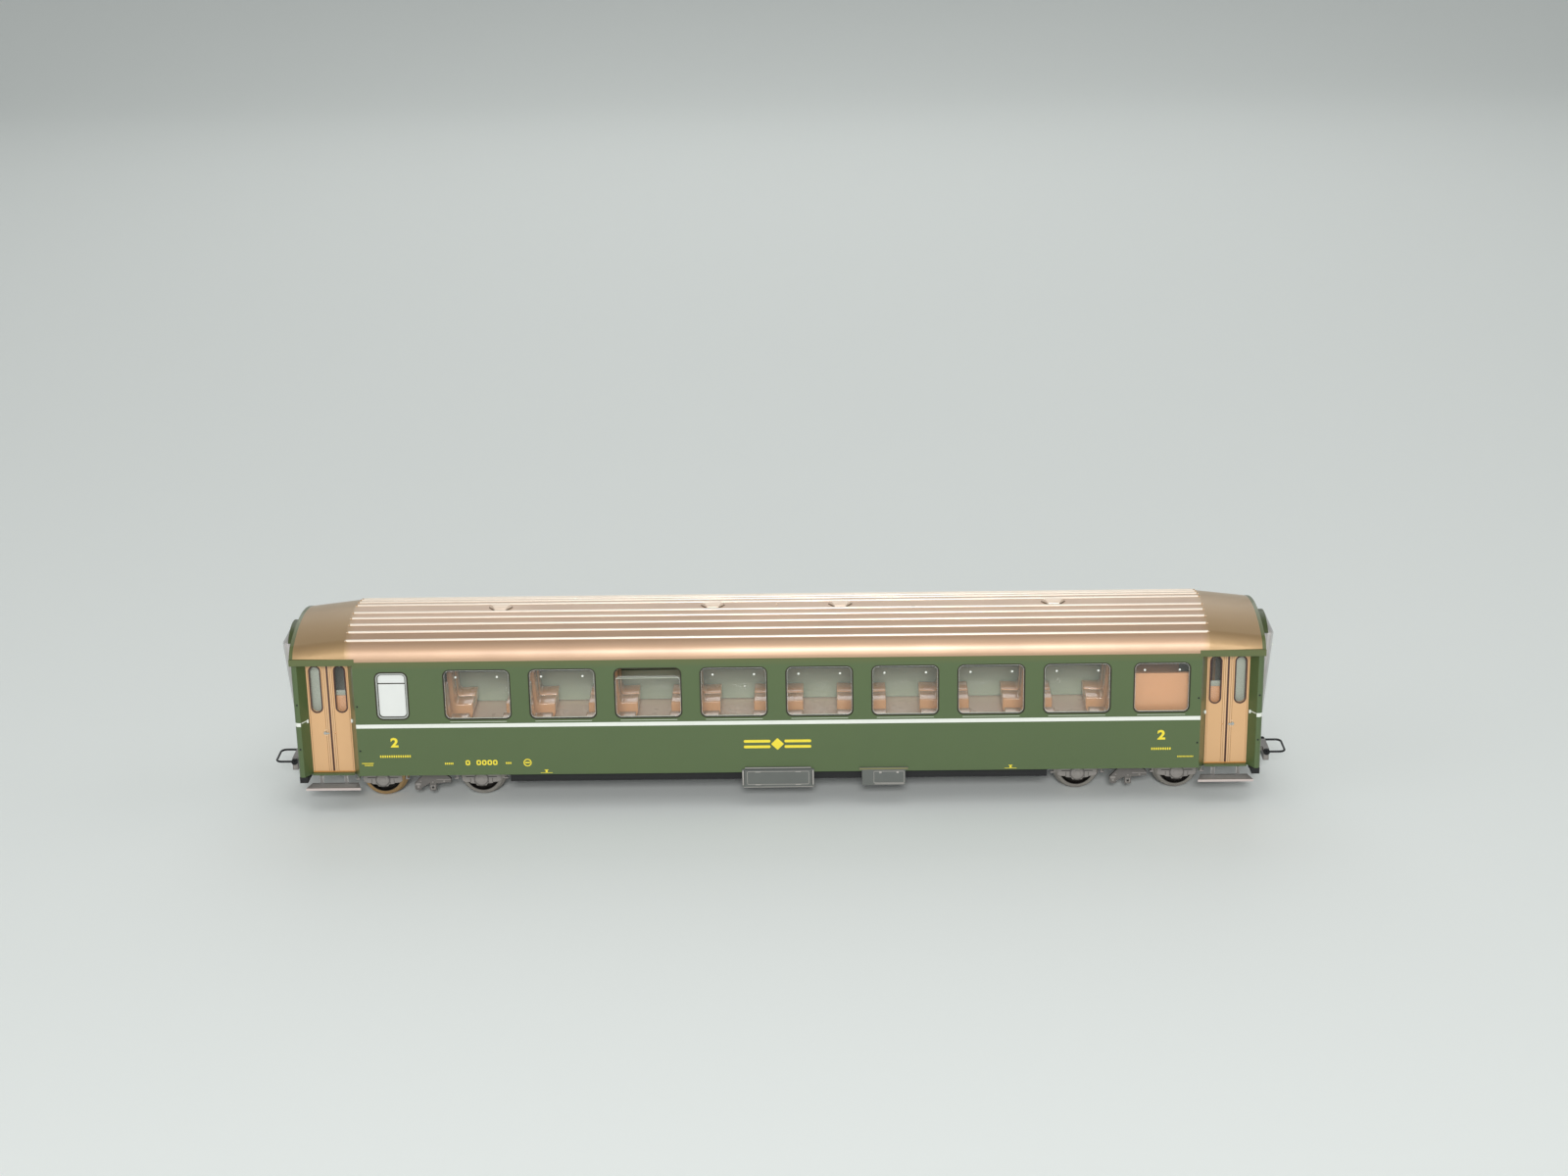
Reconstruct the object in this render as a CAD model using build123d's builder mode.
"""Model passenger coach, 1:87, for 12 mm gauge track: body, interior, bogies and couplers.

Millimetres. +X runs along the coach, +Z is up, and the origin lies on the surface that the wheel
flanges stand on, under the middle of the coach. End 1 is the toilet end at -X, end 2 is at +X.
The coach is the same about the XZ plane, and its ends differ in their small windows.
"""

import math
import os

from build123d import *

os.makedirs("parts", exist_ok=True)

ENDS = {1: -1, 2: 1}

# Clearances
seat_gap = 0.05  # pieces that are dropped into each other
running_gap = 0.06  # radial, shafts in their bores
moving_gap = 0.3  # between bodies that move past each other

# Body walls and heights
body_half_width = 15.2
body_wall = 1.0
side_bottom = 8.35
vestibule_bottom = 7.6
eaves = 33.9

# Saloon windows
window_count = 8
window_pitch = 17.8
window_width = 14.1
window_height = 11.3
window_bottom = 20.8
window_corner = 1.45
open_window_index = 2
open_window_gap = 2.3

# Small windows in the end bays
end_bay = 16.8
toilet_window_inset = 7.95
toilet_window_width = 6.95
toilet_window_height = 10.7
toilet_window_bottom = 21.0
end_window_inset = 8.2
end_window_width = 11.8

# Vestibule plan, from the end of the flat side to the end wall
inner_jamb = 1.5
door_opening = 8.9
outer_jamb = 1.4
post_length = 1.25
post_corner = 0.8
door_recess = 3.4
post_inset = 1.2

# Roof arch and the green rim round it
crown_radius = 36.0
shoulder_radius = 4.34
roof_wall = 1.0
end_rim = 0.75
gutter_overlap = 0.5
gutter_drop = 0.7
gutter_rise = 0.7
gutter_lip = 0.1
rib_count = 10
rib_centre_gap = 4.62
rib_pitch = 2.62
rib_radius = 0.28
rib_end_inset = 11.65
roof_droop = 1.3  # fall of the roof from the ends of the ribs to the end walls
vent_length = 4.85
vent_width = 3.4
vent_height = 0.6
vent_inner_x = 13.45
vent_outer_x = 58.3

# Glazing
glazing_thickness = 0.6
glazing_bottom = 17.0
glass_inset = 0.25
toilet_frame_width = 0.55

# Doors
door_thickness = 0.8
door_seam = 0.3
threshold_height = 0.4
threshold_reach = 0.9
door_window_width = 2.3
door_window_bottom = 21.5
door_window_height = 10.4
door_window_offset = 2.6
door_pane_thickness = 0.4
handle_height = 16.9
handle_from_seam = 1.25
handle_length = 1.1
handle_radius = 0.16
handrail_hole_radius = 0.22
handrail_hole_depth = 0.45
handrail_hole_heights = (14.0, 24.0)

# Gangway at each end
gangway_half_width = 6.0
gangway_bottom = 9.7
gangway_top = 35.0
gangway_foot_reach = 0.3
gangway_head_reach = 2.5
gangway_face = 0.35
gangway_wall = 1.6
hood_rise = 2.4
hood_half_width = 6.5
hood_reach = 1.7
end_door_half_width = 3.6
end_door_top = 31.0
end_door_window_width = 3.6
end_door_window_height = 9.0
end_door_window_corner = 0.7

# Wheels and axles
flange_radius = 5.05
tread_radius = 4.3
back_to_back = 10.3
flange_width = 0.7
flange_round = 0.15
flange_slope_start = 0.52
tread_width = 1.45
wheel_web = 0.9
wheel_rim = 0.8
hub_radius = 1.9
bush_wall = 0.5
axle_radius = 0.75
journal_radius = 0.5
journal_end_play = 0.1
bearing_wall = 0.45
bearing_end = 0.25

# Bogies
wheelbase = 21.0
bogie_inset = 14.3
side_frame_gap = 0.5
side_frame_width = 1.5
frame_top = 8.8
frame_end = 4.3
beam_height = 2.4
beam_tip_height = 1.7
guard_bottom = 4.0
guard_top_half = 3.8
guard_foot_half = 2.9
guard_foot_rise = 0.3
guard_root = 0.4
axlebox_radius = 1.6
axlebox_height = 0.4
transom_half_length = 4.2
transom_bottom = 6.5
transom_top = 7.9
pivot_radius = 1.7
pivot_boss_radius = 3.2
pivot_screw_shank = 0.6
pivot_screw_head = 2.6
pivot_screw_height = 0.8
brake_width = 0.7
brake_overlap = 0.8

# Brake gear outline, along the coach from the bogie centre
brake_root_back = 0.9
brake_root_front = 2.0
brake_block_reach = 3.7
brake_block_length = 1.5
brake_block_bottom = 2.75
brake_block_height = 1.45
brake_block_round = 0.5
brake_gusset_bottom = 3.3
brake_gusset_top = 4.3
brake_bar_back = 0.5
brake_bar_front = 0.85
brake_bar_bottom = 2.6
brake_arm_reach = 4.1
brake_arm_bottom = 4.2
brake_arm_tip_bottom = 4.5
brake_arm_top = 5.3
brake_hole_width = 0.5
brake_hole_height = 3.35

# Floor pan and trough
wheel_headroom = 0.8
floor_thickness = 1.0
trough_end_gap = 2.4
trough_side_gap = 1.1
trough_bottom = 5.9
trough_wall = 0.8
ballast_thickness = 2.2
ballast_gap = 0.6
headstock_bottom = 6.2
headstock_side_gap = 0.3
headstock_length = 1.7
headstock_web = 0.8

# Underfloor boxes
box_reach = 0.4
box_lip = 0.35
battery_box_x = 0.0
battery_box_length = 15.1
battery_box_bottom = 4.97
battery_box_top = 9.55
battery_lid_length = 13.8
battery_lid_height = 0.45
battery_foot_places = (-5.44, -1.1, 1.1, 5.44)
battery_foot_radius = 0.35
battery_foot_height = 0.35
equipment_box_x = 22.15
equipment_box_length = 9.1
equipment_box_bottom = 5.25
equipment_box_top = 9.25
equipment_lip_height = 0.5
equipment_lip_overhang = 0.55

# Steps
step_top = 5.9
step_board = 0.5
step_back_reach = 1.15
step_front_reach = 0.7
step_side_overlap = 0.15
step_post_gap = 0.4
step_taper = 0.9
strut_width = 0.65
strut_depth = 0.6
strut_offset = 2.6

# Couplers
drawbar_pivot_inset = 7.55
drawbar_pin_radius = 0.85
drawbar_boss_radius = 2.0
drawbar_eye_wall = 0.85
drawbar_top = 7.2
drawbar_thickness = 1.2
drawbar_half_width = 1.1
drawbar_screw_shank = 0.4
drawbar_screw_head = 1.6
drawbar_screw_height = 0.65
slot_half_width = 4.3
crossbar_reach = 3.65
crossbar_length = 1.2
crossbar_half_width = 2.8
crossbar_height = 2.6
loop_pin_radius = 0.28
loop_pin_depth = 0.45
loop_eye_wall = 0.35
loop_eye_gap = 0.3
loop_wire_radius = 0.23
loop_front = 7.25
loop_corner = 1.2

# Interior
interior_floor = 13.4
seat_half_depth = 5.3
seat_back_half = 1.5
seat_back_crest = 1.05
seat_cushion_top = 17.3
seat_back_top = 24.6
seat_base_cut = 1.2
seat_base_height = 1.6
aisle_half_width = 2.5
seat_side_gap = 0.7
partition_thickness = 0.8
partition_offset = 1.9
partition_door_half = 3.0
partition_door_top = 30.0
panel_top = 28.8
panel_gap = 0.6

# Positions that follow from the sizes above
saloon_half = window_count / 2 * window_pitch
side_half = saloon_half + end_bay
door_start = side_half + inner_jamb
door_end = door_start + door_opening
door_centre = (door_start + door_end) / 2
post_start = door_end + outer_jamb
body_half = post_start + post_length
door_plane = body_half_width - door_recess
post_plane = body_half_width - post_inset
inner_half_width = body_half_width - body_wall
roof_half = body_half - end_rim
gutter_top = eaves + gutter_rise
gutter_bottom = eaves - gutter_drop
threshold_top = vestibule_bottom + threshold_height - seat_gap * 2
window_centre_z = window_bottom + window_height / 2
window_top = window_bottom + window_height
toilet_window_x = -(side_half - toilet_window_inset)
end_window_x = side_half - end_window_inset
axle_z = flange_radius
wheel_inner = back_to_back / 2
wheel_outer = wheel_inner + flange_width + tread_width
frame_inner = wheel_outer + side_frame_gap
frame_outer = frame_inner + side_frame_width
bogie_x = side_half - bogie_inset
trough_half_length = bogie_x - wheelbase / 2 - frame_end - trough_end_gap
trough_half_width = inner_half_width - trough_side_gap
headstock_half_width = post_plane - headstock_side_gap
box_front = body_half_width + box_reach
step_back = door_plane + step_back_reach
step_front = body_half_width + step_front_reach
floor_bottom = 2 * flange_radius + wheel_headroom
floor_top = floor_bottom + floor_thickness
drawbar_pivot_x = body_half - drawbar_pivot_inset
drawbar_bottom = drawbar_top - drawbar_thickness
crossbar_front = body_half + crossbar_reach
loop_pin_x = crossbar_front - crossbar_length / 2
loop_height = drawbar_top - loop_pin_depth
loop_arm_y = crossbar_half_width + loop_eye_gap + loop_wire_radius
wheel_positions = {
    1: -bogie_x - wheelbase / 2,
    2: -bogie_x + wheelbase / 2,
    3: bogie_x - wheelbase / 2,
    4: bogie_x + wheelbase / 2,
}

# Roof arch geometry: a crown arc between two shoulder arcs that meet it tangentially
arch_centre_y = body_half_width - shoulder_radius
arch_drop = math.sqrt((crown_radius - shoulder_radius) ** 2 - arch_centre_y**2)
crown_centre_z = eaves - arch_drop
crown_angle = math.degrees(math.asin(arch_centre_y / (crown_radius - shoulder_radius)))


def arch_section(inset=0.0, droop=0.0):
    """The closed roof section above the eaves, in a plane whose x is Y and whose y is Z.

    A droop lowers the arch, and what it takes below the eaves is left out.
    """
    crown = crown_radius - inset
    shoulder = shoulder_radius - inset
    half = body_half_width - inset
    springing = eaves - droop
    with BuildSketch() as section:
        with BuildLine():
            CenterArc((arch_centre_y, springing), shoulder, 0, 90 - crown_angle)
            CenterArc((0, crown_centre_z - droop), crown, 90 - crown_angle, 2 * crown_angle)
            CenterArc((-arch_centre_y, springing), shoulder, 90 + crown_angle, 90 - crown_angle)
            Line((-half, springing), (half, springing))
        make_face()
        if droop:
            with Locations((0, eaves - half)):
                Rectangle(2 * body_half_width, 2 * half, mode=Mode.SUBTRACT)
    return section.sketch


def body_plan(inset=0.0):
    """The outline of the body sides, vestibules and end walls from above."""
    with BuildSketch() as plan:
        with BuildLine():
            Polyline(
                (0, 0),
                (0, body_half_width),
                (side_half, body_half_width),
                (door_start, door_plane),
                (door_end, door_plane),
                (post_start, post_plane),
                (body_half, post_plane),
                (body_half, 0),
                close=True,
            )
        make_face()
        mirror(about=Plane.XZ)
        mirror(about=Plane.YZ)
        if inset:
            offset(amount=-inset, kind=Kind.INTERSECTION)
    return plan.sketch


def crown_height(y):
    """Height of the roof's outer surface at a distance y from the middle."""
    if abs(y) < arch_centre_y + shoulder_radius * math.sin(math.radians(crown_angle)):
        return crown_centre_z + math.sqrt(crown_radius**2 - y**2)
    return eaves + math.sqrt(shoulder_radius**2 - (abs(y) - arch_centre_y) ** 2)


def window_x(index):
    """Centre of a saloon window, counted from end 1."""
    return (index - (window_count - 1) / 2) * window_pitch


window_centres = [(window_x(i), window_centre_z) for i in range(window_count)]
door_centres = [(sign * door_centre, 0) for sign in ENDS.values()]

# ---------------------------------------------------------------- body shell
with BuildPart() as body_shell:
    with BuildSketch(Plane.XY.offset(vestibule_bottom)):
        add(body_plan())
    extrude(amount=eaves - vestibule_bottom)
    corner_edges = body_shell.edges().filter_by(Axis.Z).group_by(Axis.X)
    fillet(corner_edges[0] + corner_edges[-1], radius=post_corner)
    with BuildSketch(Plane.XY.offset(vestibule_bottom)):
        add(body_plan(body_wall))
    extrude(amount=eaves - vestibule_bottom, mode=Mode.SUBTRACT)
    with BuildSketch(Plane.XY.offset(vestibule_bottom)):
        Rectangle(2 * side_half, 2 * body_half_width)
    extrude(amount=side_bottom - vestibule_bottom, mode=Mode.SUBTRACT)
    # Windows
    with BuildSketch(Plane.XZ):
        with Locations(*window_centres):
            RectangleRounded(window_width, window_height, window_corner)
        with Locations((toilet_window_x, toilet_window_bottom + toilet_window_height / 2)):
            RectangleRounded(toilet_window_width, toilet_window_height, window_corner)
        with Locations((end_window_x, window_centre_z)):
            RectangleRounded(end_window_width, window_height, window_corner)
    extrude(amount=body_half_width, both=True, mode=Mode.SUBTRACT)
    # Door openings
    with BuildSketch(Plane.XZ):
        with Locations(*[(x, (threshold_top + gutter_bottom) / 2) for x, _ in door_centres]):
            Rectangle(door_opening, gutter_bottom - threshold_top)
    extrude(amount=body_half_width, both=True, mode=Mode.SUBTRACT)
    # End doorway
    with BuildSketch(Plane.YZ):
        with Locations((0, (floor_top + end_door_top) / 2)):
            Rectangle(2 * end_door_half_width, end_door_top - floor_top)
    extrude(amount=body_half, both=True, mode=Mode.SUBTRACT)
    # Threshold strips
    with BuildSketch(Plane.XY.offset(threshold_top - threshold_height)):
        with Locations(*[
            (x, side * (door_plane + (threshold_reach - body_wall) / 2))
            for x, _ in door_centres for side in (-1, 1)
        ]):
            Rectangle(door_opening, threshold_reach + body_wall)
    extrude(amount=threshold_height)
    # Gutters over the doors, which also close the vestibule ceilings
    gutter_length = body_half - side_half + gutter_overlap
    with BuildSketch(Plane.XY.offset(gutter_bottom)):
        with Locations(*[(sign * (body_half - gutter_length / 2), 0) for sign in ENDS.values()]):
            Rectangle(gutter_length, 2 * (body_half_width + gutter_lip))
    extrude(amount=gutter_top - gutter_bottom)
    # The saloon stays open between the gutters, and each vestibule keeps a hatch for the roof clip
    with BuildSketch(Plane.XY.offset(gutter_bottom)):
        with Locations(*[(x, 0) for x, _ in door_centres]):
            Rectangle(door_opening, 2 * (door_plane - body_wall))
    extrude(amount=gutter_top - gutter_bottom, mode=Mode.SUBTRACT)
    # Arched end walls
    for sign in ENDS.values():
        with BuildSketch(Plane.YZ.offset(sign * roof_half)):
            add(arch_section(droop=roof_droop))
        extrude(amount=sign * end_rim)
    # Handrail holes in the posts and in the ends of the sides
    post_hole = (post_plane, body_half - end_rim)
    side_hole = (body_half_width, side_half - gutter_overlap)
    for plane_y, hole_x in (post_hole, side_hole):
        for side in (-1, 1):
            with BuildSketch(Plane.XZ.offset(-side * plane_y)):
                with Locations(*[
                    (sign * hole_x, z) for sign in ENDS.values() for z in handrail_hole_heights
                ]):
                    Circle(handrail_hole_radius)
            extrude(amount=side * handrail_hole_depth, mode=Mode.SUBTRACT)
body_shell.part.label = "body_shell"
export_step(body_shell.part, "parts/body_shell.step")

# ---------------------------------------------------------------- roof
rib_half = body_half - rib_end_inset
rib_places = [
    side * (rib_centre_gap / 2 + i * rib_pitch) for i in range(rib_count // 2) for side in (-1, 1)
]
with BuildPart() as roof_shell:
    for inset, mode in ((0.0, Mode.ADD), (roof_wall, Mode.SUBTRACT)):
        with BuildSketch(Plane.YZ):
            add(arch_section(inset))
        extrude(amount=rib_half, both=True, mode=mode)
        # Past the ribs the roof falls towards the end walls
        for sign in ENDS.values():
            with BuildSketch(Plane.YZ.offset(sign * rib_half)):
                add(arch_section(inset))
            with BuildSketch(Plane.YZ.offset(sign * roof_half)):
                add(arch_section(inset, roof_droop))
            loft(ruled=True, mode=mode)
        if mode == Mode.ADD:
            with BuildSketch(Plane.YZ):
                with Locations(*[(y, crown_height(y)) for y in rib_places]):
                    Circle(rib_radius)
            extrude(amount=rib_half, both=True)
    with BuildSketch(Plane.XY.offset(eaves)):
        with Locations(*[(sign * (body_half - gutter_length / 2), 0) for sign in ENDS.values()]):
            Rectangle(gutter_length, 2 * body_half_width)
    extrude(amount=gutter_top - eaves, mode=Mode.SUBTRACT)
roof_shell.part.label = "roof_shell"
export_step(roof_shell.part, "parts/roof_shell.step")

# ---------------------------------------------------------------- roof vents
vent_base = crown_height(vent_width / 2)
with BuildPart() as roof_vents:
    with BuildSketch(Plane.XY.offset(vent_base)):
        with Locations(*[(s * x, 0) for s in (-1, 1) for x in (vent_inner_x, vent_outer_x)]):
            Polygon(
                (-vent_length / 2, 0),
                (-vent_length / 4, vent_width / 2),
                (vent_length / 4, vent_width / 2),
                (vent_length / 2, 0),
                (vent_length / 4, -vent_width / 2),
                (-vent_length / 4, -vent_width / 2),
                align=None,
            )
    extrude(amount=crown_height(0) + vent_height - vent_base)
    with BuildSketch(Plane.YZ):
        add(arch_section(-seat_gap))
    extrude(amount=roof_half, both=True, mode=Mode.SUBTRACT)
roof_vents.part.label = "roof_vents"
export_step(roof_vents.part, "parts/roof_vents.step")

# ---------------------------------------------------------------- glazing strips
glazing_start = -saloon_half - seat_gap
glazing_end = end_window_x + end_window_width / 2 + body_wall
glazing_top = eaves - seat_gap
pane_height = window_height - 2 * seat_gap
for name, side in (("glazing_front", -1), ("glazing_back", 1)):
    with BuildPart() as glazing:
        # Flat strip behind the side wall
        with BuildSketch(Plane.XZ.offset(-side * inner_half_width)):
            with Locations(((glazing_start + glazing_end) / 2, (glazing_bottom + glazing_top) / 2)):
                Rectangle(glazing_end - glazing_start, glazing_top - glazing_bottom)
        extrude(amount=side * glazing_thickness)
        # Panes that stand in the window openings
        with BuildSketch(Plane.XZ.offset(-side * inner_half_width)):
            with Locations(*window_centres):
                RectangleRounded(window_width - 2 * seat_gap, pane_height, window_corner - seat_gap)
            with Locations((end_window_x, window_centre_z)):
                RectangleRounded(end_window_width - 2 * seat_gap, pane_height, window_corner - seat_gap)
        extrude(amount=-side * (body_wall - glass_inset))
        # One window stands open at the top
        with BuildSketch(Plane.XZ):
            with Locations((window_x(open_window_index), window_top - open_window_gap / 2)):
                Rectangle(window_width, open_window_gap)
        extrude(amount=-side * body_half_width, mode=Mode.SUBTRACT)
    glazing.part.label = name
    export_step(glazing.part, f"parts/{name}.step")

# ---------------------------------------------------------------- toilet windows
toilet_centre = (toilet_window_x, toilet_window_bottom + toilet_window_height / 2)
with BuildPart() as toilet_window_frames:
    with BuildSketch(Plane.XZ.offset(inner_half_width)):
        with Locations(toilet_centre):
            RectangleRounded(
                toilet_window_width - 2 * seat_gap,
                toilet_window_height - 2 * seat_gap,
                window_corner - seat_gap,
            )
            RectangleRounded(
                toilet_window_width - 2 * toilet_frame_width,
                toilet_window_height - 2 * toilet_frame_width,
                window_corner - toilet_frame_width,
                mode=Mode.SUBTRACT,
            )
    extrude(amount=body_wall)
    mirror(about=Plane.XZ)
toilet_window_frames.part.label = "toilet_window_frames"
export_step(toilet_window_frames.part, "parts/toilet_window_frames.step")

with BuildPart() as toilet_panes:
    with BuildSketch(Plane.XZ.offset(inner_half_width - glazing_thickness)):
        with Locations(toilet_centre):
            Rectangle(toilet_window_width + body_wall, toilet_window_height + body_wall)
    extrude(amount=glazing_thickness)
    with BuildSketch(Plane.XZ.offset(inner_half_width)):
        with Locations(toilet_centre):
            RectangleRounded(
                toilet_window_width - 2 * toilet_frame_width - 2 * seat_gap,
                toilet_window_height - 2 * toilet_frame_width - 2 * seat_gap,
                window_corner - toilet_frame_width - seat_gap,
            )
    extrude(amount=body_wall - glass_inset)
    mirror(about=Plane.XZ)
toilet_panes.part.label = "toilet_panes"
export_step(toilet_panes.part, "parts/toilet_panes.step")

# ---------------------------------------------------------------- entrance doors
leaf_width = (door_opening - door_seam) / 2 - seat_gap
leaf_height = gutter_bottom - threshold_top
leaf_offset = door_seam / 2 + leaf_width / 2
door_window_z = door_window_bottom + door_window_height / 2
for number, sign in ENDS.items():
    for name, side in ((f"doors_{number}_front", -1), (f"doors_{number}_back", 1)):
        leaf_centres = [
            (sign * door_centre + hand * leaf_offset, threshold_top + leaf_height / 2) for hand in (-1, 1)
        ]
        with BuildPart() as doors:
            with BuildSketch(Plane.XZ.offset(-side * door_plane)):
                with Locations(*leaf_centres):
                    Rectangle(leaf_width, leaf_height)
                with Locations(*[
                    (sign * door_centre + hand * door_window_offset, door_window_z) for hand in (-1, 1)
                ]):
                    SlotOverall(door_window_height, door_window_width, rotation=90, mode=Mode.SUBTRACT)
            extrude(amount=side * door_thickness)
        doors.part.label = name
        export_step(doors.part, f"parts/{name}.step")

with BuildPart() as door_panes:
    with BuildSketch(Plane.XZ.offset(door_plane - door_thickness - door_pane_thickness)):
        with Locations(*[
            (sign * door_centre + hand * door_window_offset, door_window_z)
            for sign in ENDS.values() for hand in (-1, 1)
        ]):
            Rectangle(
                door_window_width + 2 * door_pane_thickness,
                door_window_height + 2 * door_pane_thickness,
            )
    extrude(amount=door_pane_thickness)
    mirror(about=Plane.XZ)
door_panes.part.label = "door_panes"
export_step(door_panes.part, "parts/door_panes.step")

with BuildPart() as door_handles:
    for sign in ENDS.values():
        handle_x = sign * (door_centre + handle_from_seam)
        with BuildSketch(Plane.XZ.offset(door_plane)):
            with Locations((handle_x, handle_height)):
                Circle(2 * handle_radius)
        extrude(amount=2 * handle_radius)
        with BuildSketch(Plane.XZ.offset(door_plane + 2 * handle_radius)):
            with Locations((handle_x - sign * handle_length / 2 + sign * handle_radius, handle_height)):
                SlotOverall(handle_length, 2 * handle_radius)
        extrude(amount=handle_radius)
    mirror(about=Plane.XZ)
door_handles.part.label = "door_handles"
export_step(door_handles.part, "parts/door_handles.step")

# ---------------------------------------------------------------- gangways and end doors
end_door_plane = body_half - body_wall / 2
for number, sign in ENDS.items():
    foot_x = sign * (body_half + gangway_foot_reach)
    head_x = sign * (body_half + gangway_head_reach)
    wall_x = sign * body_half
    passage_z = (gangway_bottom + gangway_wall + gangway_top - gangway_wall) / 2
    passage_height = gangway_top - gangway_bottom - 2 * gangway_wall
    with BuildPart() as gangway_bellows:
        with BuildSketch(Plane.XZ):
            with BuildLine():
                Polyline(
                    (wall_x, gangway_bottom),
                    (foot_x, gangway_bottom),
                    (head_x, gangway_top),
                    (wall_x, gangway_top),
                    close=True,
                )
            make_face()
        extrude(amount=gangway_half_width, both=True)
        with BuildSketch(Plane.YZ.offset(wall_x)):
            with Locations((0, passage_z)):
                Rectangle(2 * (gangway_half_width - gangway_wall), passage_height)
        extrude(amount=sign * gangway_head_reach, mode=Mode.SUBTRACT)
    gangway_bellows.part.label = f"gangway_bellows_{number}"
    export_step(gangway_bellows.part, f"parts/gangway_bellows_{number}.step")

    with BuildPart() as gangway_frame:
        with BuildSketch(Plane.XZ):
            with BuildLine():
                Polyline(
                    (foot_x, gangway_bottom),
                    (foot_x + sign * gangway_face, gangway_bottom),
                    (head_x + sign * gangway_face, gangway_top),
                    (head_x, gangway_top),
                    close=True,
                )
            make_face()
        extrude(amount=gangway_half_width, both=True)
        with BuildSketch(Plane.YZ.offset(wall_x)):
            with Locations((0, passage_z)):
                Rectangle(2 * (gangway_half_width - gangway_wall), passage_height)
        extrude(amount=sign * (gangway_head_reach + 2 * gangway_face), mode=Mode.SUBTRACT)
    gangway_frame.part.label = f"gangway_frame_{number}"
    export_step(gangway_frame.part, f"parts/gangway_frame_{number}.step")

    with BuildPart() as gangway_hood:
        with BuildSketch(Plane.YZ.offset(wall_x)):
            with BuildLine():
                ThreePointArc(
                    (-hood_half_width, gangway_top),
                    (0, gangway_top + hood_rise),
                    (hood_half_width, gangway_top),
                )
                Line((hood_half_width, gangway_top), (-hood_half_width, gangway_top))
            make_face()
        extrude(amount=sign * hood_reach)
    gangway_hood.part.label = f"gangway_hood_{number}"
    export_step(gangway_hood.part, f"parts/gangway_hood_{number}.step")

    with BuildPart() as end_door:
        with BuildSketch(Plane.YZ.offset(sign * end_door_plane)):
            with Locations((0, (floor_top + end_door_top) / 2)):
                Rectangle(2 * (end_door_half_width - seat_gap), end_door_top - floor_top - 2 * seat_gap)
            with Locations((0, window_centre_z)):
                RectangleRounded(
                    end_door_window_width, end_door_window_height, end_door_window_corner, mode=Mode.SUBTRACT
                )
        extrude(amount=-sign * body_wall / 2)
    end_door.part.label = f"end_door_{number}"
    export_step(end_door.part, f"parts/end_door_{number}.step")

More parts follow.
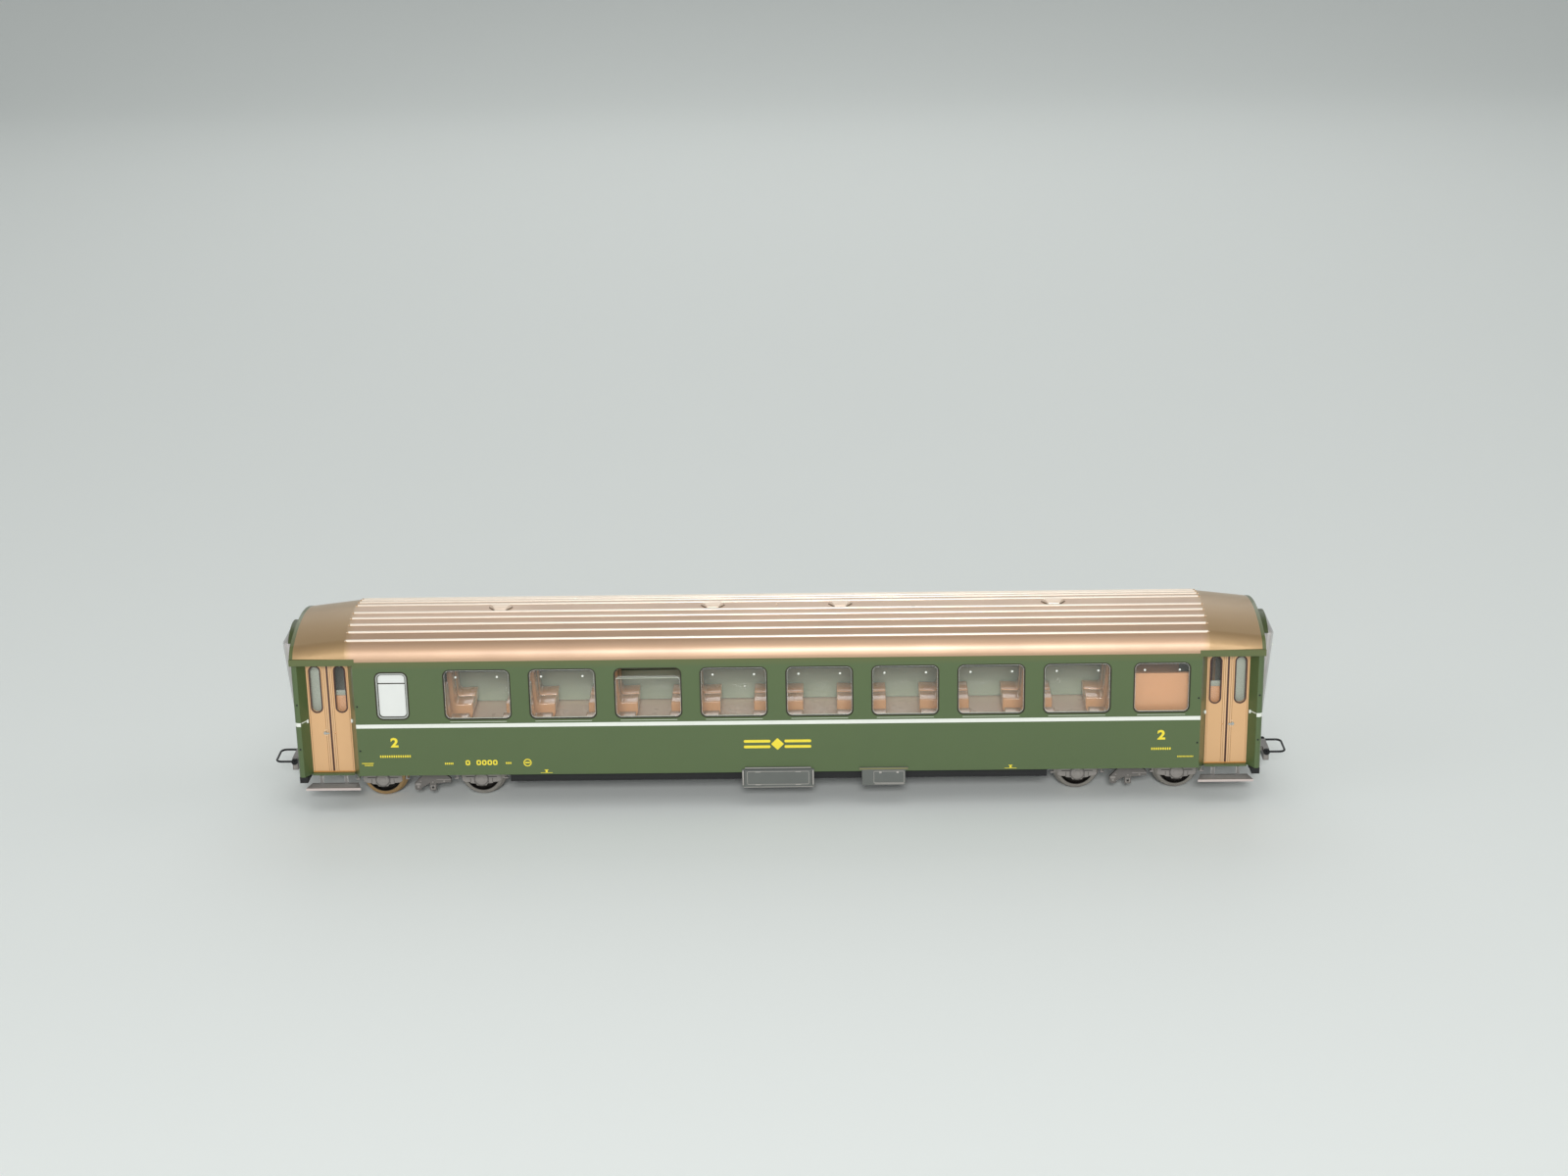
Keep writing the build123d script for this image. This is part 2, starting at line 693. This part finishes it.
# ---------------------------------------------------------------- floor pan
boss_bottom = transom_top + moving_gap - seat_gap
pivot_pin_bottom = transom_bottom - moving_gap
drawbar_boss_bottom = drawbar_top + moving_gap - seat_gap
drawbar_pin_bottom = drawbar_bottom - moving_gap + seat_gap
plate_half_width = inner_half_width - seat_gap
vestibule_half_width = door_plane - body_wall - seat_gap
with BuildPart() as floor_pan:
    with BuildSketch(Plane.XY.offset(floor_bottom)):
        Rectangle(2 * (side_half - body_wall - seat_gap), 2 * plate_half_width)
        Rectangle(2 * (body_half - body_wall - seat_gap), 2 * vestibule_half_width)
    extrude(amount=floor_thickness)
    # Trough for the ballast between the bogies
    with BuildSketch(Plane.XY.offset(trough_bottom)):
        Rectangle(2 * trough_half_length, 2 * trough_half_width)
    extrude(amount=floor_bottom - trough_bottom)
    with BuildSketch(Plane.XY.offset(trough_bottom + trough_wall)):
        Rectangle(2 * (trough_half_length - trough_wall), 2 * (trough_half_width - trough_wall))
    extrude(amount=floor_top - trough_bottom - trough_wall, mode=Mode.SUBTRACT)
    # Headstocks below the end walls
    for sign in ENDS.values():
        with BuildSketch(Plane.XY.offset(headstock_bottom)):
            with Locations((sign * (body_half - seat_gap - headstock_length / 2), 0)):
                Rectangle(headstock_length, 2 * headstock_half_width)
        extrude(amount=vestibule_bottom - seat_gap - headstock_bottom)
        with BuildSketch(Plane.XY.offset(headstock_bottom)):
            with Locations((sign * (body_half - body_wall - seat_gap - headstock_web / 2), 0)):
                Rectangle(headstock_web, 2 * vestibule_half_width)
        extrude(amount=floor_bottom - headstock_bottom)
        with BuildSketch(Plane.XY.offset(headstock_bottom)):
            with Locations((sign * (body_half - headstock_length), 0)):
                Rectangle(2 * headstock_length, 2 * slot_half_width)
        extrude(amount=drawbar_top + moving_gap - headstock_bottom, mode=Mode.SUBTRACT)
        # Bogie pivot
        with BuildSketch(Plane.XY.offset(boss_bottom)):
            with Locations((sign * bogie_x, 0)):
                Circle(pivot_boss_radius)
        extrude(amount=floor_bottom - boss_bottom)
        with BuildSketch(Plane.XY.offset(pivot_pin_bottom)):
            with Locations((sign * bogie_x, 0)):
                Circle(pivot_radius)
        extrude(amount=boss_bottom - pivot_pin_bottom)
        with BuildSketch(Plane.XY.offset(pivot_pin_bottom)):
            with Locations((sign * bogie_x, 0)):
                Circle(pivot_screw_shank)
        extrude(amount=floor_bottom - pivot_pin_bottom, mode=Mode.SUBTRACT)
        # Drawbar pivot
        with BuildSketch(Plane.XY.offset(drawbar_boss_bottom)):
            with Locations((sign * drawbar_pivot_x, 0)):
                Circle(drawbar_boss_radius)
        extrude(amount=floor_bottom - drawbar_boss_bottom)
        with BuildSketch(Plane.XY.offset(drawbar_pin_bottom)):
            with Locations((sign * drawbar_pivot_x, 0)):
                Circle(drawbar_pin_radius)
        extrude(amount=drawbar_boss_bottom - drawbar_pin_bottom)
        with BuildSketch(Plane.XY.offset(drawbar_pin_bottom)):
            with Locations((sign * drawbar_pivot_x, 0)):
                Circle(drawbar_screw_shank)
        extrude(amount=floor_bottom - drawbar_pin_bottom, mode=Mode.SUBTRACT)
floor_pan.part.label = "floor_pan"
export_step(floor_pan.part, "parts/floor_pan.step")

with BuildPart() as pivot_screws:
    for sign in ENDS.values():
        with BuildSketch(Plane.XY.offset(pivot_pin_bottom)):
            with Locations((sign * bogie_x, 0)):
                Circle(pivot_screw_head)
        extrude(amount=-pivot_screw_height)
        with BuildSketch(Plane.XY.offset(pivot_pin_bottom)):
            with Locations((sign * bogie_x, 0)):
                Circle(pivot_screw_shank)
        extrude(amount=floor_bottom - pivot_pin_bottom)
pivot_screws.part.label = "pivot_screws"
export_step(pivot_screws.part, "parts/pivot_screws.step")

with BuildPart() as drawbar_screws:
    for sign in ENDS.values():
        with BuildSketch(Plane.XY.offset(drawbar_pin_bottom)):
            with Locations((sign * drawbar_pivot_x, 0)):
                Circle(drawbar_screw_head)
        extrude(amount=-drawbar_screw_height)
        with BuildSketch(Plane.XY.offset(drawbar_pin_bottom)):
            with Locations((sign * drawbar_pivot_x, 0)):
                Circle(drawbar_screw_shank)
        extrude(amount=floor_bottom - drawbar_pin_bottom)
drawbar_screws.part.label = "drawbar_screws"
export_step(drawbar_screws.part, "parts/drawbar_screws.step")

with BuildPart() as ballast_plate:
    with BuildSketch(Plane.XY.offset(trough_bottom + trough_wall)):
        Rectangle(
            2 * (trough_half_length - trough_wall - ballast_gap),
            2 * (trough_half_width - trough_wall - ballast_gap),
        )
    extrude(amount=ballast_thickness)
ballast_plate.part.label = "ballast_plate"
export_step(ballast_plate.part, "parts/ballast_plate.step")

# ---------------------------------------------------------------- underfloor boxes
box_inner_top = side_bottom - seat_gap
with BuildPart() as battery_boxes:
    with BuildSketch(Plane.XY.offset(battery_box_bottom)):
        with Locations((battery_box_x, -(trough_half_width + box_front) / 2)):
            Rectangle(battery_box_length, box_front - trough_half_width)
    extrude(amount=box_inner_top - battery_box_bottom)
    # The front stands up before the foot of the side, and its top is a shorter lid
    with BuildSketch(Plane.XY.offset(box_inner_top)):
        with Locations((battery_box_x, -(box_front - box_lip / 2))):
            Rectangle(battery_box_length, box_lip)
    extrude(amount=battery_box_top - battery_lid_height - box_inner_top)
    with BuildSketch(Plane.XY.offset(battery_box_top - battery_lid_height)):
        with Locations((battery_box_x, -(box_front - box_lip / 2))):
            Rectangle(battery_lid_length, box_lip)
    extrude(amount=battery_lid_height)
    with BuildSketch(Plane.XY.offset(battery_box_bottom)):
        with Locations(*[
            (battery_box_x + place, -(trough_half_width + box_front) / 2) for place in battery_foot_places
        ]):
            Circle(battery_foot_radius)
    extrude(amount=-battery_foot_height)
    mirror(about=Plane.XZ)
battery_boxes.part.label = "battery_boxes"
export_step(battery_boxes.part, "parts/battery_boxes.step")

with BuildPart() as equipment_boxes:
    with BuildSketch(Plane.XY.offset(equipment_box_bottom)):
        with Locations((equipment_box_x, -(trough_half_width + box_front) / 2)):
            Rectangle(equipment_box_length, box_front - trough_half_width)
    extrude(amount=box_inner_top - equipment_box_bottom)
    with BuildSketch(Plane.XY.offset(box_inner_top)):
        with Locations((equipment_box_x, -(box_front - box_lip / 2))):
            Rectangle(equipment_box_length, box_lip)
    extrude(amount=equipment_box_top - box_inner_top)
    with BuildSketch(Plane.XY.offset(equipment_box_top - equipment_lip_height)):
        with Locations((equipment_box_x, -(box_front - box_lip / 2))):
            Rectangle(equipment_box_length + 2 * equipment_lip_overhang, box_lip)
    extrude(amount=equipment_lip_height)
    mirror(about=Plane.XZ)
equipment_boxes.part.label = "equipment_boxes"
export_step(equipment_boxes.part, "parts/equipment_boxes.step")

# ---------------------------------------------------------------- steps
step_inner_x = side_half - step_side_overlap
step_outer_x = post_start - step_post_gap
strut_top = threshold_top - threshold_height
for number, sign in ENDS.items():
    with BuildPart() as steps:
        with BuildSketch(Plane.XY.offset(step_top - step_board)):
            with BuildLine():
                Polyline(
                    (sign * (step_inner_x + step_taper), -step_back),
                    (sign * step_inner_x, -step_front),
                    (sign * step_outer_x, -step_front),
                    (sign * (step_outer_x - step_taper), -step_back),
                    close=True,
                )
            make_face()
        extrude(amount=step_board)
        with BuildSketch(Plane.XY.offset(step_top - step_board)):
            with Locations(*[
                (sign * door_centre + hand * strut_offset, -(step_back - strut_depth / 2 + seat_gap))
                for hand in (-1, 1)
            ]):
                Rectangle(strut_width, strut_depth + 2 * seat_gap)
        extrude(amount=strut_top - step_top + step_board)
        mirror(about=Plane.XZ)
    steps.part.label = f"steps_{number}"
    export_step(steps.part, f"parts/steps_{number}.step")

# ---------------------------------------------------------------- bogies
beam_bottom = frame_top - beam_height
guard_root_z = beam_bottom + guard_root
guard_foot_z = guard_bottom + guard_foot_rise
brake_root_z = beam_bottom + brake_overlap
block_top = brake_block_bottom + brake_block_height
for number, sign in ENDS.items():
    centre_x = sign * bogie_x
    axle_xs = [centre_x - wheelbase / 2, centre_x + wheelbase / 2]
    beam_end = wheelbase / 2 + frame_end
    with BuildPart() as bogie_frame:
        with BuildSketch(Plane.XZ.offset(frame_inner)):
            with BuildLine():
                Polyline(
                    (centre_x - beam_end, frame_top),
                    (centre_x - beam_end, frame_top - beam_tip_height),
                    (centre_x - wheelbase / 2, beam_bottom),
                    (centre_x + wheelbase / 2, beam_bottom),
                    (centre_x + beam_end, frame_top - beam_tip_height),
                    (centre_x + beam_end, frame_top),
                    close=True,
                )
            make_face()
            for axle_x in axle_xs:
                with BuildLine():
                    Line((axle_x + guard_top_half, guard_root_z), (axle_x - guard_top_half, guard_root_z))
                    Line((axle_x - guard_top_half, guard_root_z), (axle_x - guard_foot_half, guard_foot_z))
                    ThreePointArc(
                        (axle_x - guard_foot_half, guard_foot_z),
                        (axle_x, guard_bottom),
                        (axle_x + guard_foot_half, guard_foot_z),
                    )
                    Line((axle_x + guard_foot_half, guard_foot_z), (axle_x + guard_top_half, guard_root_z))
                make_face()
        extrude(amount=side_frame_width)
        with BuildSketch(Plane.XZ.offset(frame_outer)):
            with Locations(*[(x, axle_z) for x in axle_xs]):
                Circle(axlebox_radius)
        extrude(amount=axlebox_height)
        with BuildSketch(Plane.XZ.offset(frame_inner)):
            with Locations(*[(x, axle_z) for x in axle_xs]):
                Circle(journal_radius + running_gap + bearing_wall)
        extrude(amount=side_frame_width - bearing_end, mode=Mode.SUBTRACT)
        mirror(about=Plane.XZ)
        with BuildSketch(Plane.XY.offset(transom_bottom)):
            with Locations((centre_x, 0)):
                Rectangle(2 * transom_half_length, 2 * frame_inner)
        extrude(amount=transom_top - transom_bottom)
        with BuildSketch(Plane.XY.offset(transom_bottom)):
            with Locations((centre_x, 0)):
                Circle(pivot_radius + running_gap)
        extrude(amount=transom_top - transom_bottom, mode=Mode.SUBTRACT)
    bogie_frame.part.label = f"bogie_frame_{number}"
    export_step(bogie_frame.part, f"parts/bogie_frame_{number}.step")

    with BuildPart() as bearing_cups:
        with BuildSketch(Plane.XZ.offset(frame_inner)):
            with Locations(*[(x, axle_z) for x in axle_xs]):
                Circle(journal_radius + running_gap + bearing_wall)
        extrude(amount=side_frame_width - bearing_end)
        with BuildSketch(Plane.XZ.offset(frame_inner)):
            with Locations(*[(x, axle_z) for x in axle_xs]):
                Circle(journal_radius + running_gap)
        extrude(amount=side_frame_width - 2 * bearing_end, mode=Mode.SUBTRACT)
        mirror(about=Plane.XZ)
    bearing_cups.part.label = f"bearing_cups_{number}"
    export_step(bearing_cups.part, f"parts/bearing_cups_{number}.step")

    block_back = centre_x - brake_block_reach
    block_front = block_back + brake_block_length
    bar_back = centre_x - brake_bar_back
    bar_front = centre_x + brake_bar_front
    with BuildPart() as brake_gear:
        with BuildSketch(Plane.XZ.offset(frame_outer)) as brake_gear_outline:
            with BuildLine():
                Polyline(
                    (block_back, block_top),
                    (centre_x - brake_root_back, brake_root_z),
                    (centre_x + brake_root_front, brake_root_z),
                    (centre_x + brake_arm_reach, brake_arm_top),
                    (centre_x + brake_arm_reach, brake_arm_tip_bottom),
                    (bar_front, brake_arm_bottom),
                    (bar_front, brake_bar_bottom),
                    (bar_back, brake_bar_bottom),
                    (bar_back, brake_gusset_top),
                    (block_front, brake_gusset_bottom),
                    (block_front, brake_block_bottom),
                    (block_back, brake_block_bottom),
                    close=True,
                )
            make_face()
            block_foot = brake_gear_outline.vertices().filter_by(
                lambda corner: abs(corner.Y - brake_block_bottom) < seat_gap
            )
            fillet(block_foot, radius=brake_block_round)
            with Locations(((bar_back + bar_front) / 2, brake_hole_height)):
                Rectangle(brake_hole_width, brake_hole_width, mode=Mode.SUBTRACT)
        extrude(amount=brake_width)
        mirror(about=Plane.XZ)
    brake_gear.part.label = f"brake_gear_{number}"
    export_step(brake_gear.part, f"parts/brake_gear_{number}.step")

# ---------------------------------------------------------------- wheelsets
journal_end = frame_outer - 2 * bearing_end - journal_end_play
axle_shoulder = frame_inner - moving_gap
for number, wheel_x in wheel_positions.items():
    axle_plane = Plane(origin=(wheel_x, 0, axle_z), x_dir=(1, 0, 0), z_dir=(0, -1, 0))
    turned_plane = Plane(origin=(wheel_x, 0, axle_z), x_dir=(0, 0, 1), z_dir=(-1, 0, 0))
    axle_line = Axis((wheel_x, 0, axle_z), (0, 1, 0))
    bush_radius = axle_radius + bush_wall
    with BuildPart() as axle:
        with BuildSketch(axle_plane):
            Circle(axle_radius)
        extrude(amount=axle_shoulder, both=True)
        with BuildSketch(axle_plane):
            Circle(journal_radius)
        extrude(amount=journal_end, both=True)
    axle.part.label = f"axle_{number}"
    export_step(axle.part, f"parts/axle_{number}.step")

    with BuildPart() as bushes:
        with BuildSketch(axle_plane.offset(wheel_inner)):
            Circle(bush_radius)
            Circle(axle_radius, mode=Mode.SUBTRACT)
        extrude(amount=wheel_outer - wheel_inner)
        mirror(about=Plane.XZ)
    bushes.part.label = f"wheel_bushes_{number}"
    export_step(bushes.part, f"parts/wheel_bushes_{number}.step")

    rim_inner = tread_radius - wheel_rim
    web_outer = wheel_inner + wheel_web
    with BuildPart() as wheels:
        with BuildSketch(turned_plane):
            with BuildLine():
                Polyline(
                    (bush_radius, wheel_inner),
                    (flange_radius - flange_round, wheel_inner),
                    (flange_radius, wheel_inner + flange_width / 2),
                    (flange_radius - flange_round, wheel_inner + flange_slope_start),
                    (tread_radius, wheel_inner + flange_width),
                    (tread_radius, wheel_outer),
                    (rim_inner, wheel_outer),
                    (rim_inner, web_outer),
                    (hub_radius, web_outer),
                    (hub_radius, wheel_outer),
                    (bush_radius, wheel_outer),
                    close=True,
                )
            make_face()
        revolve(axis=axle_line)
        mirror(about=Plane.XZ)
    wheels.part.label = f"wheels_{number}"
    export_step(wheels.part, f"parts/wheels_{number}.step")

# ---------------------------------------------------------------- couplers
for number, sign in ENDS.items():
    pivot_x = sign * drawbar_pivot_x
    pin_x = sign * loop_pin_x
    front_x = sign * (body_half + loop_front)
    pin_plane = Plane(origin=(pin_x, 0, loop_height), x_dir=(1, 0, 0), z_dir=(0, -1, 0))
    eye_radius = drawbar_pin_radius + running_gap + drawbar_eye_wall
    with BuildPart() as drawbar:
        with BuildSketch(Plane.XY.offset(drawbar_bottom)):
            with Locations((pivot_x, 0)):
                Circle(eye_radius)
            with Locations(((pivot_x + sign * crossbar_front) / 2, 0)):
                Rectangle(crossbar_front - drawbar_pivot_x, 2 * drawbar_half_width)
        extrude(amount=drawbar_thickness)
        # Crossbar that carries the loop
        with BuildSketch(Plane.XY.offset(drawbar_top)):
            with Locations((pin_x, 0)):
                Rectangle(crossbar_length, 2 * crossbar_half_width)
        extrude(amount=-crossbar_height)
        with BuildSketch(Plane.XY.offset(drawbar_bottom)):
            with Locations((pivot_x, 0)):
                Circle(drawbar_pin_radius + running_gap)
        extrude(amount=drawbar_thickness, mode=Mode.SUBTRACT)
        with BuildSketch(pin_plane):
            Circle(loop_pin_radius)
        extrude(amount=crossbar_half_width, both=True, mode=Mode.SUBTRACT)
    drawbar.part.label = f"drawbar_{number}"
    export_step(drawbar.part, f"parts/drawbar_{number}.step")

    with BuildPart() as loop_pin:
        with BuildSketch(pin_plane):
            Circle(loop_pin_radius)
        extrude(amount=loop_arm_y + loop_wire_radius + loop_eye_gap / 2, both=True)
    loop_pin.part.label = f"loop_pin_{number}"
    export_step(loop_pin.part, f"parts/loop_pin_{number}.step")

    loop_eye = loop_pin_radius + running_gap + loop_eye_wall
    arm_start = pin_x + sign * (loop_pin_radius + running_gap + loop_wire_radius)
    bar_x = front_x - sign * loop_wire_radius
    with BuildPart() as loop:
        with BuildLine() as wire_line:
            FilletPolyline(
                (arm_start, -loop_arm_y, loop_height),
                (bar_x, -loop_arm_y, loop_height),
                (bar_x, loop_arm_y, loop_height),
                (arm_start, loop_arm_y, loop_height),
                radius=loop_corner,
            )
        with BuildSketch(Plane(origin=(arm_start, -loop_arm_y, loop_height), z_dir=(sign, 0, 0))):
            Circle(loop_wire_radius)
        sweep(path=wire_line.line)
        with BuildSketch(pin_plane.offset(loop_arm_y - loop_wire_radius)):
            Circle(loop_eye)
        extrude(amount=2 * loop_wire_radius)
        with BuildSketch(pin_plane.offset(-loop_arm_y - loop_wire_radius)):
            Circle(loop_eye)
        extrude(amount=2 * loop_wire_radius)
        with BuildSketch(pin_plane):
            Circle(loop_pin_radius + running_gap)
        extrude(amount=loop_arm_y + 2 * loop_wire_radius, both=True, mode=Mode.SUBTRACT)
    loop.part.label = f"loop_{number}"
    export_step(loop.part, f"parts/loop_{number}.step")

# ---------------------------------------------------------------- interior
interior_half = side_half - body_wall - seat_gap
with BuildPart() as interior_tray:
    with BuildSketch(Plane.XY.offset(floor_top)):
        Rectangle(2 * interior_half, 2 * plate_half_width)
        Rectangle(2 * (body_half - body_wall - seat_gap), 2 * (vestibule_half_width - door_pane_thickness))
    extrude(amount=interior_floor - floor_top)
interior_tray.part.label = "interior_floor"
export_step(interior_tray.part, "parts/interior_floor.step")

seat_outer = inner_half_width - glazing_thickness - seat_side_gap
seat_base_top = interior_floor + seat_base_height
with BuildPart() as seats:
    for index in range(window_count + 1):
        pillar_x = (index - window_count / 2) * window_pitch
        hands = (-1, 1)
        if index == 0:
            hands = (1,)
        if index == window_count:
            hands = (-1,)
        for hand in hands:
            with BuildSketch(Plane.XZ.offset(aisle_half_width)):
                with BuildLine():
                    Polyline(
                        (pillar_x, interior_floor),
                        (pillar_x + hand * (seat_half_depth - seat_base_cut), interior_floor),
                        (pillar_x + hand * (seat_half_depth - seat_base_cut), seat_base_top),
                        (pillar_x + hand * seat_half_depth, seat_base_top + seat_base_cut),
                        (pillar_x + hand * seat_half_depth, seat_cushion_top),
                        (pillar_x + hand * seat_back_half, seat_cushion_top),
                        (pillar_x + hand * seat_back_crest, seat_back_top),
                        (pillar_x, seat_back_top),
                        close=True,
                    )
                make_face()
            extrude(amount=seat_outer - aisle_half_width)
    mirror(about=Plane.XZ)
seats.part.label = "seats"
export_step(seats.part, "parts/seats.step")

partition_x = saloon_half + partition_offset
panel_plane = inner_half_width - glazing_thickness - panel_gap
with BuildPart() as partitions:
    for sign in ENDS.values():
        with BuildSketch(Plane.YZ.offset(sign * partition_x)):
            with Locations((0, (interior_floor + eaves) / 2)):
                Rectangle(2 * panel_plane, eaves - interior_floor)
            with Locations((0, (interior_floor + partition_door_top) / 2)):
                Rectangle(2 * partition_door_half, partition_door_top - interior_floor, mode=Mode.SUBTRACT)
        extrude(amount=sign * partition_thickness)
partitions.part.label = "partitions"
export_step(partitions.part, "parts/partitions.step")

panel_start = partition_x + partition_thickness
panel_end = interior_half
with BuildPart() as end_panels:
    with BuildSketch(Plane.XY.offset(interior_floor)):
        with Locations(((panel_start + panel_end) / 2, -(panel_plane - partition_thickness / 2))):
            Rectangle(panel_end - panel_start, partition_thickness)
    extrude(amount=panel_top - interior_floor)
    mirror(about=Plane.XZ)
end_panels.part.label = "end_panels"
export_step(end_panels.part, "parts/end_panels.step")

with BuildPart() as toilet_cubicle:
    with BuildSketch(Plane.XY.offset(interior_floor)):
        with Locations((-(panel_start + panel_end) / 2, -partition_door_half - partition_thickness / 2)):
            Rectangle(panel_end - panel_start, partition_thickness)
    extrude(amount=eaves - interior_floor)
    with BuildSketch(Plane.XY.offset(interior_floor)):
        with Locations((
            -(panel_end - partition_thickness / 2),
            -(partition_door_half + partition_thickness + panel_plane) / 2,
        )):
            Rectangle(partition_thickness, panel_plane - partition_door_half - partition_thickness)
    extrude(amount=eaves - interior_floor)
    mirror(about=Plane.XZ)
toilet_cubicle.part.label = "toilet_cubicle"
export_step(toilet_cubicle.part, "parts/toilet_cubicle.step")
